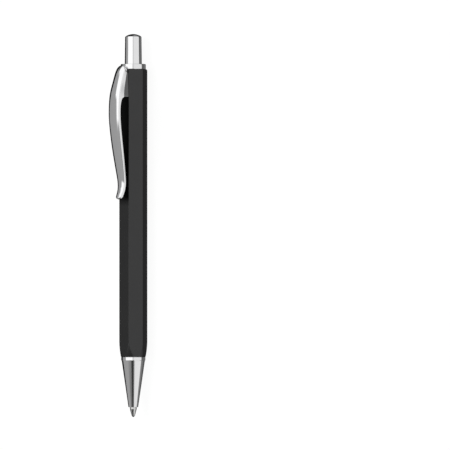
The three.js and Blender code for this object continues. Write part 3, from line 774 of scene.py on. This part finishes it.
cone_outline = rounded([
    (cone_front, tip_bore, 0),
    (cone_front, CONE_FRONT_RADIUS, CONE_FRONT_EDGE),
    (cone_rear, CONE_REAR_RADIUS, CONE_REAR_EDGE),
    (cone_rear + SHOULDER_FACE, shoulder_radius - SHOULDER_CHAMFER, CHAMFER_EDGE),
    (cone_rear + CHAMFER_END, shoulder_radius, BROKEN_EDGE),
    (shoulder_rear, shoulder_radius, BROKEN_EDGE),
    (shoulder_rear, spigot_radius, 0),
    (spigot_end, spigot_radius, BROKEN_EDGE),
    (spigot_end, SPIGOT_BORE, 0),
    (spring_bore_end, SPIGOT_BORE, 0),
    (spring_bore_end, SPRING_BORE, 0),
    (spring_seat, SPRING_BORE, 0),
    (spring_seat, tip_bore, 0),
])
turned("nose_cone_turned", cone_outline, turned_chrome, "casing", ["nose_cone"])

# %% [markdown]
# The collar closes the barrel's rear. Its thin sleeve goes into the barrel and guides the button.

# %% Collar
SLEEVE_WALL = 0.3 * MM
COLLAR_EDGE = 0.22 * MM
button_bore = button_radius + SLIDE_GAP
sleeve_radius = button_bore + SLEEVE_WALL
collar_front = span("collar")[0]
collar_outline = rounded([
    (collar_front, button_bore, 0),
    (collar_front, sleeve_radius, BROKEN_EDGE),
    (barrel_rear, sleeve_radius, 0),
    (barrel_rear, collar_radius, BROKEN_EDGE),
    (collar_rear, collar_radius, COLLAR_EDGE),
    (collar_rear, button_bore, 0),
])
turned("collar_turned", collar_outline, chrome, "casing", ["collar"])

# %% [markdown]
# The button is a deep cap. Its dome is shallow in the middle and turns quickly at the rim, so its
# outline is part of an ellipse plus a squared sine, which adds height only near the middle.

# %% Button
BUTTON_TOP_RADIUS = 3.0 * MM
BUTTON_DOME = 1.1 * MM
DOME_CORNER = 0.45 * MM
BUTTON_WALL = 0.7 * MM
BUTTON_TOP_THICKNESS = 2.7 * MM
INNER_CORNER = 0.2 * MM
DOME_STEPS = 24
skirt = span("button")[0]
inner_radius = button_radius - BUTTON_WALL
under_top = button_end - BUTTON_TOP_THICKNESS
dome_angle = np.linspace(0, math.pi / 2, DOME_STEPS)
dome = np.stack([
    button_end - BUTTON_DOME + DOME_CORNER * np.sin(dome_angle)
    + (BUTTON_DOME - DOME_CORNER) * np.sin(dome_angle) ** 2,
    BUTTON_TOP_RADIUS * np.cos(dome_angle)], 1)
button_outline = np.concatenate([
    rounded([
        (under_top, 0, 0),
        (under_top, inner_radius, INNER_CORNER),
        (skirt, inner_radius, 0),
        (skirt, button_radius, BROKEN_EDGE),
        (collar_rear, button_radius, 0),
    ]),
    dome,
])
turned("push_button", button_outline, chrome, "button", ["button"], ring=False)

# %% [markdown]
# The point's rim is rolled round the ball and holds it. Behind its cone the point is a plain rod,
# and its thin end goes into the brass neck of the refill. An ink channel runs through it.

# %% Writing point and ball
RIM_RADIUS, RIM_EDGE = 0.6 * MM, 0.04 * MM
POINT_CONE_LENGTH, POINT_CONE_RADIUS, POINT_CONE_EDGE = 2.15 * MM, 1.18 * MM, 0.3 * MM
POINT_ROD_FROM, POINT_ROD_TO = 2.5 * MM, 14.0 * MM
POINT_END_RADIUS = 0.95 * MM
INK_CHANNEL_RADIUS, INK_CHANNEL_FROM = 0.35 * MM, 0.7 * MM
SOCKET_DEPTH, BALL_GAP = 0.6 * MM, 0.03 * MM
BALL_STEPS = 33
rim_x, point_end = span("refill_tip")
socket_radius = ball_radius + BALL_GAP
point_outline = rounded([
    (rim_x, socket_radius, 0),
    (rim_x, RIM_RADIUS, RIM_EDGE),
    (rim_x + POINT_CONE_LENGTH, POINT_CONE_RADIUS, POINT_CONE_EDGE),
    (rim_x + POINT_ROD_FROM, point_radius, BROKEN_EDGE),
    (rim_x + POINT_ROD_TO, point_radius, 0),
    (rim_x + POINT_ROD_TO, POINT_END_RADIUS, 0),
    (point_end, POINT_END_RADIUS, 0),
    (point_end, INK_CHANNEL_RADIUS, 0),
    (rim_x + INK_CHANNEL_FROM, INK_CHANNEL_RADIUS, 0),
    (rim_x + SOCKET_DEPTH, socket_radius, 0),
])
turned("writing_point", point_outline, point_steel, "refill", ["refill_tip"],
       segments=96)
turn_angle = np.linspace(0, math.pi, BALL_STEPS)
ball_outline = np.stack([
    tip_end + ball_radius * (1 - np.cos(turn_angle)), ball_radius * np.sin(turn_angle)], 1)
turned("rolling_ball", ball_outline, carbide, "refill", ["writing_ball"],
       ring=False, segments=64)

# %% [markdown]
# ## The clip
#
# The clip is a springy leaf of chromed metal. It is bowed along the pen, arched across its
# width, rounded at both ends, and its free end curls up so that it slides over cloth. The foot
# stands on the barrel, and a tongue goes through the slot.
#
# The leaf could be a subdivided box, but its bow, width and arch change at their own rates. So
# each of them is a curve through a few points, in millimetres from the barrel's rear end.

# %% The clip's curves
# Distance from the barrel's rear end towards the tip, and height over the flat, in millimetres
CLIP_CROWN = np.array([
    (-1.45, 1.2), (-0.75, 1.7), (0.4, 2.33), (4.75, 3.9), (9.1, 5.0), (13.0, 5.35),
    (17.8, 5.37), (22.5, 4.94), (28.3, 4.11), (35.2, 2.87), (39.2, 2.18), (42.0, 1.9),
    (44.4, 2.22), (46.2, 2.88), (47.3, 3.3),
])
# Distance from the barrel's rear end, and half the clip's width there, in millimetres
CLIP_HALF_WIDTH = np.array([
    (-1.6, 2.4), (0.1, 2.47), (5.0, 2.59), (9.9, 2.77), (14.6, 2.82), (21.8, 2.77),
    (28.0, 2.67), (34.0, 2.45), (38.2, 2.19), (42.0, 1.88), (45.2, 1.6), (48.0, 1.37),
])
# Distance from the barrel's rear end, and the degrees that the arch has turned by at its edges
CLIP_LEAN = np.array([(-1.6, 28), (3, 27.5), (6, 24.5), (9, 20.5), (13.5, 16.8), (22, 17),
                      (30, 19.5), (37, 22), (42.5, 26), (48, 26)])
print("crown height, mm:", CLIP_CROWN[:, 1].max(), "widest, mm:", 2 * CLIP_HALF_WIDTH[:, 1].max())

# %% [markdown]
# Polished metal shows every kink, so the curves are natural cubic splines, which keep their slope
# and their bend continuous.

# %% Spline


def spline(knots, values, at):
    """A natural cubic spline: its value, slope and bend are continuous at every knot.

    The second derivatives at the knots solve one small linear system, and each stretch is then
    the usual cubic between two knots.
    """
    h = np.diff(knots)
    n = len(knots)
    system = np.eye(n)
    right = np.zeros((n,) + values.shape[1:])
    k = np.arange(1, n - 1)
    system[k, k - 1], system[k, k], system[k, k + 1] = h[:-1], 2 * (h[:-1] + h[1:]), h[1:]
    wide = h.reshape(-1, *[1] * (values.ndim - 1))
    slopes = np.diff(values, axis=0) / wide
    right[1:-1] = 6 * np.diff(slopes, axis=0)
    bend = np.linalg.solve(system, right)
    i = np.clip(np.searchsorted(knots, at) - 1, 0, n - 2)
    shape = at.shape + (1,) * (values.ndim - 1)
    a = ((knots[i + 1] - at) / h[i]).reshape(shape)
    b = ((at - knots[i]) / h[i]).reshape(shape)
    hh = (h[i] ** 2).reshape(shape) / 6
    return a * values[i] + b * values[i + 1] + ((a**3 - a) * bend[i] + (b**3 - b) * bend[i + 1]) * hh


steps_between = np.linalg.norm(np.diff(CLIP_CROWN, axis=0), axis=1)
crown_knots = np.concatenate([[0], np.cumsum(steps_between)])
crown_length = crown_knots[-1]
print("clip path length, mm:", round(float(crown_length), 2))

# %% [markdown]
# Over its foot the leaf is more arched and thicker. Its lower edge steps up at the foot's front
# face and then sweeps up in a fillet. Towards its free end the sheet gets a little thinner.

# %% The leaf's shape
SHEET_AT_END, SHEET_GAIN = 0.82, 0.16
SHEET_THINNEST_AT, SHEET_THINS_OVER = 41.0, 18.0
FOOT_FRONT, FOOT_REAR = 10.2, 1.3
REAR_GAIN, ROOT_GAIN = 0.26, 1.54
FILLET_GAIN, FILLET_LENGTH = 1.2, 4.4
TOP_END_LENGTH = 2.2
TIP_END_LENGTH = 1.35
SLOPE_STEP = 0.01


def crown(u):
    """The line along the top of the leaf at path lengths u: points, and unit directions outwards.

    A direction is the line's slope turned by a right angle.
    """
    at = spline(crown_knots, CLIP_CROWN, u)
    slope = (spline(crown_knots, CLIP_CROWN, u + SLOPE_STEP)
             - spline(crown_knots, CLIP_CROWN, u - SLOPE_STEP))
    slope /= np.linalg.norm(slope, axis=1, keepdims=True)
    return at, np.stack([-slope[:, 1], slope[:, 0]], 1)


def smooth(t):
    """Eases from 0 to 1 as t does: t^2 (3 - 2t)."""
    t = np.clip(t, 0, 1)
    return t * t * (3 - 2 * t)


def full_width(distance):
    """Half the leaf's width before its ends are rounded."""
    return spline(CLIP_HALF_WIDTH[:, 0], CLIP_HALF_WIDTH[:, 1], distance)


def arch(x, distance):
    """Fall of the arched leaf from its crown at x: r - sqrt(r^2 - x^2), with r = w / sin(lean)."""
    lean = np.radians(spline(CLIP_LEAN[:, 0], CLIP_LEAN[:, 1], distance))
    radius = full_width(distance) / np.sin(lean)
    return radius - np.sqrt(radius**2 - x**2)


def thickness(distance):
    """The sheet, plus even growth over the foot or, in front of it, a falling quarter ellipse."""
    sheet = SHEET_AT_END + SHEET_GAIN * smooth((SHEET_THINNEST_AT - distance) / SHEET_THINS_OVER)
    over_foot = np.clip(distance / FOOT_FRONT, 0, 1)
    left = np.clip(1 - (distance - FOOT_FRONT) / FILLET_LENGTH, 0, 1)
    in_front = 1 - np.sqrt(1 - left**2)
    root = np.where(distance < FOOT_FRONT, ROOT_GAIN * over_foot + REAR_GAIN * (1 - over_foot),
                    FILLET_GAIN * in_front)
    return sheet + root


def half_width(u, distance, inset):
    """Half the leaf's width, drawn in by an inset, with its ends rounded as ellipses."""
    w = full_width(distance) - inset
    top = np.clip(1 - (u - inset) / (TOP_END_LENGTH - inset), 0, 1)
    tip = np.clip(1 - (crown_length - inset - u) / (TIP_END_LENGTH - inset), 0, 1)
    return w * np.sqrt(1 - top**2) * np.sqrt(1 - tip**2)


print("thickness in the middle, mm:", round(float(thickness(np.array(25.0))), 2))

# %% [markdown]
# The leaf's section is a flat rectangle with rounded corners, carried along the crown line and
# bent over the arch. Near both ends the same section shrinks to nothing, which gives the round
# ends the same rounded edge.

# %% Clip leaf
EDGE_ABOVE, EDGE_BELOW = 0.28, 0.08
LEAF_STATIONS, LEAF_ACROSS, EDGE_STEPS = 260, 41, 10
CROWDING = 0.9


def section_loop():
    """The section's points, round the leaf once: side, inset, and the two terms of their depth.

    A point lies at side * (half width - inset) across, and at share * thickness + more below the
    crown.
    """
    across = np.linspace(-1, 1, LEAF_ACROSS)
    a = np.linspace(math.pi / 2, 0, EDGE_STEPS)[1:-1]
    down = np.array([0, 0.05, 0.35, 0.65, 0.95, 1.0])
    one = np.ones_like
    top = (across, EDGE_ABOVE * one(across), 0 * across, 0 * across)
    upper = (one(a), EDGE_ABOVE * (1 - np.cos(a)), 0 * a, EDGE_ABOVE * (1 - np.sin(a)))
    side = (one(down), 0 * down, down, EDGE_ABOVE * (1 - down) - EDGE_BELOW * down)
    a = a[::-1]
    lower = (one(a), EDGE_BELOW * (1 - np.cos(a)), one(a), -EDGE_BELOW * (1 - np.sin(a)))
    bottom = (-across, EDGE_BELOW * one(across), one(across), 0 * across)
    back = [(-part[0][::-1], *(term[::-1] for term in part[1:])) for part in (lower, side, upper)]
    return tuple(np.concatenate(terms) for terms in zip(top, upper, side, lower, bottom, *back))


def leaf_points():
    """Grid of the leaf: its section at stations that crowd towards both ends.

    A station's share t of the path becomes t - c sin(2 pi t) / (2 pi), with the crowding c.
    """
    side, inset, share, more = section_loop()
    even = np.linspace(0, 1, LEAF_STATIONS)
    crowded = even - CROWDING / (2 * math.pi) * np.sin(2 * math.pi * even)
    u = inset[None] + crowded[:, None] * (crown_length - 2 * inset[None])
    at, out = crown(u.ravel())
    at, out = at.reshape(*u.shape, 2), out.reshape(*u.shape, 2)
    distance = at[..., 0]
    x = side * half_width(u, distance, inset)
    fall = (arch(x, distance) + share * thickness(distance) + more)[..., None]
    place = at - out * fall
    return np.stack([
        barrel_rear - place[..., 0] * MM, x * MM, axis_z + flat + place[..., 1] * MM], -1)


CLIP_SHARP = 50.0
points = leaf_points()
piece("clip_leaf", points, grid_faces(*points.shape[:2]), chrome, "clip", ["clip"],
      sharp=CLIP_SHARP)

# %% [markdown]
# The foot is a block a little narrower than the leaf, with the same outline. Its sides lean
# outwards towards the leaf, so they show the dark panel where the leaf's own side shows the pale
# one. It is one grid too: an outline seen from above, repeated at rising heights and widened as
# it rises.

# %% Clip foot
FOOT_INSET = 0.08
FOOT_DRAFT = 0.08
FOOT_SEAT = 0.03
FOOT_CORNER = 0.12
INTO_LEAF = 0.3
CROWN_SAMPLES = 900
FOOT_SIDE_STEPS, FOOT_HEIGHT_STEPS = 12, 9


def leaf_under(distance, x):
    """Height of the leaf's underside over the flat, at a distance and at x from its middle."""
    at, out = crown(np.linspace(0, crown_length, CROWN_SAMPLES))
    under = at - out * thickness(at[:, 0])[:, None]
    return np.interp(distance, under[:, 0], under[:, 1]) - arch(x, distance)


def foot_points():
    """Grid of the foot. Half its width is the leaf's, less an inset and draft * depth below it."""
    outline = rounded([
        (FOOT_REAR, 0, 0), (FOOT_REAR, 1, FOOT_CORNER), (FOOT_FRONT, 1, FOOT_CORNER),
        (FOOT_FRONT, -1, FOOT_CORNER), (FOOT_REAR, -1, FOOT_CORNER), (FOOT_REAR, 0, 0),
    ])[:-1]
    following = np.roll(outline, -1, 0)
    fine = [np.linspace(a, b, FOOT_SIDE_STEPS, endpoint=False)
            for a, b in zip(outline, following)]
    x, side = np.concatenate(fine).T
    edge = full_width(x) - FOOT_INSET
    under = leaf_under(x, side * edge)
    share = np.linspace(0, 1, FOOT_HEIGHT_STEPS)[:, None]
    z = FOOT_SEAT + share * (under + INTO_LEAF - FOOT_SEAT)
    y = side * (edge - FOOT_DRAFT * np.maximum(under - z, 0))
    x = x + 0 * z
    rows_x = np.concatenate([x[:1], x, x[-1:]])
    rows_y = np.concatenate([0 * y[:1], y, 0 * y[-1:]])
    rows_z = np.concatenate([z[:1], z, z[-1:]])
    return np.stack([barrel_rear - rows_x * MM, rows_y * MM, axis_z + flat + rows_z * MM], -1)


points = foot_points()
piece("clip_foot", points, grid_faces(*points.shape[:2]), chrome, "clip", ["clip"],
      sharp=CLIP_SHARP)

# %% [markdown]
# The tongue is a narrow plate from the leaf down into the slot. Inside the wall it turns
# towards the tip and hooks under it. Its outline from the side is widened into a plate, and a
# bevel rounds its edges.

# %% Clip tongue
TONGUE_HALF_WIDTH = 1.3 * MM
TONGUE_INSET, TONGUE_THICKNESS = 0.05 * MM, 1.1 * MM
TONGUE_INTO_LEAF, LEAF_MET_AT = 0.35, 0.3
HOOK_LENGTH, HOOK_HEIGHT = 1.25 * MM, 0.35 * MM
TONGUE_EDGE = 0.08 * MM
tongue_rear = barrel_rear - TONGUE_INSET
tongue_front = tongue_rear - TONGUE_THICKNESS
hook_end = tongue_front - HOOK_LENGTH
hook_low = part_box("clip")[0].z
hook_high = hook_low + HOOK_HEIGHT
leaf_height = leaf_under(np.array([LEAF_MET_AT]), 0.0)[0]
tongue_top = axis_z + flat + (leaf_height + TONGUE_INTO_LEAF) * MM
side_outline = np.array([
    (tongue_rear, hook_low), (tongue_rear, tongue_top), (tongue_front, tongue_top),
    (tongue_front, hook_high), (hook_end, hook_high), (hook_end, hook_low),
])
across = np.array([-TONGUE_HALF_WIDTH, TONGUE_HALF_WIDTH])[:, None]
points = np.stack(np.broadcast_arrays(side_outline[:, 0], across, side_outline[:, 1]), -1)
count = len(side_outline)
tongue = piece("clip_tongue", points, grid_faces(2, count), chrome, "clip", ["clip"],
               extra_faces=[range(count), range(count, 2 * count)])
bevel = tongue.modifiers.new("rounded_edges", "BEVEL")
bevel.width = TONGUE_EDGE
bevel.segments = 3
bevel.limit_method = "ANGLE"

# %% [markdown]
# ## Size against the frame
#
# How far the visual model reaches past the CAD model's box, at each side, is printed.

# %% Sizes and finish
bpy.context.scene.view_settings.view_transform = "Standard"
low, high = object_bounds()
growth = [round((a - b) / MM, 3) for a, b in zip([*cad_low, *high], [*low, *cad_high])]
print("grown by, mm:", growth)
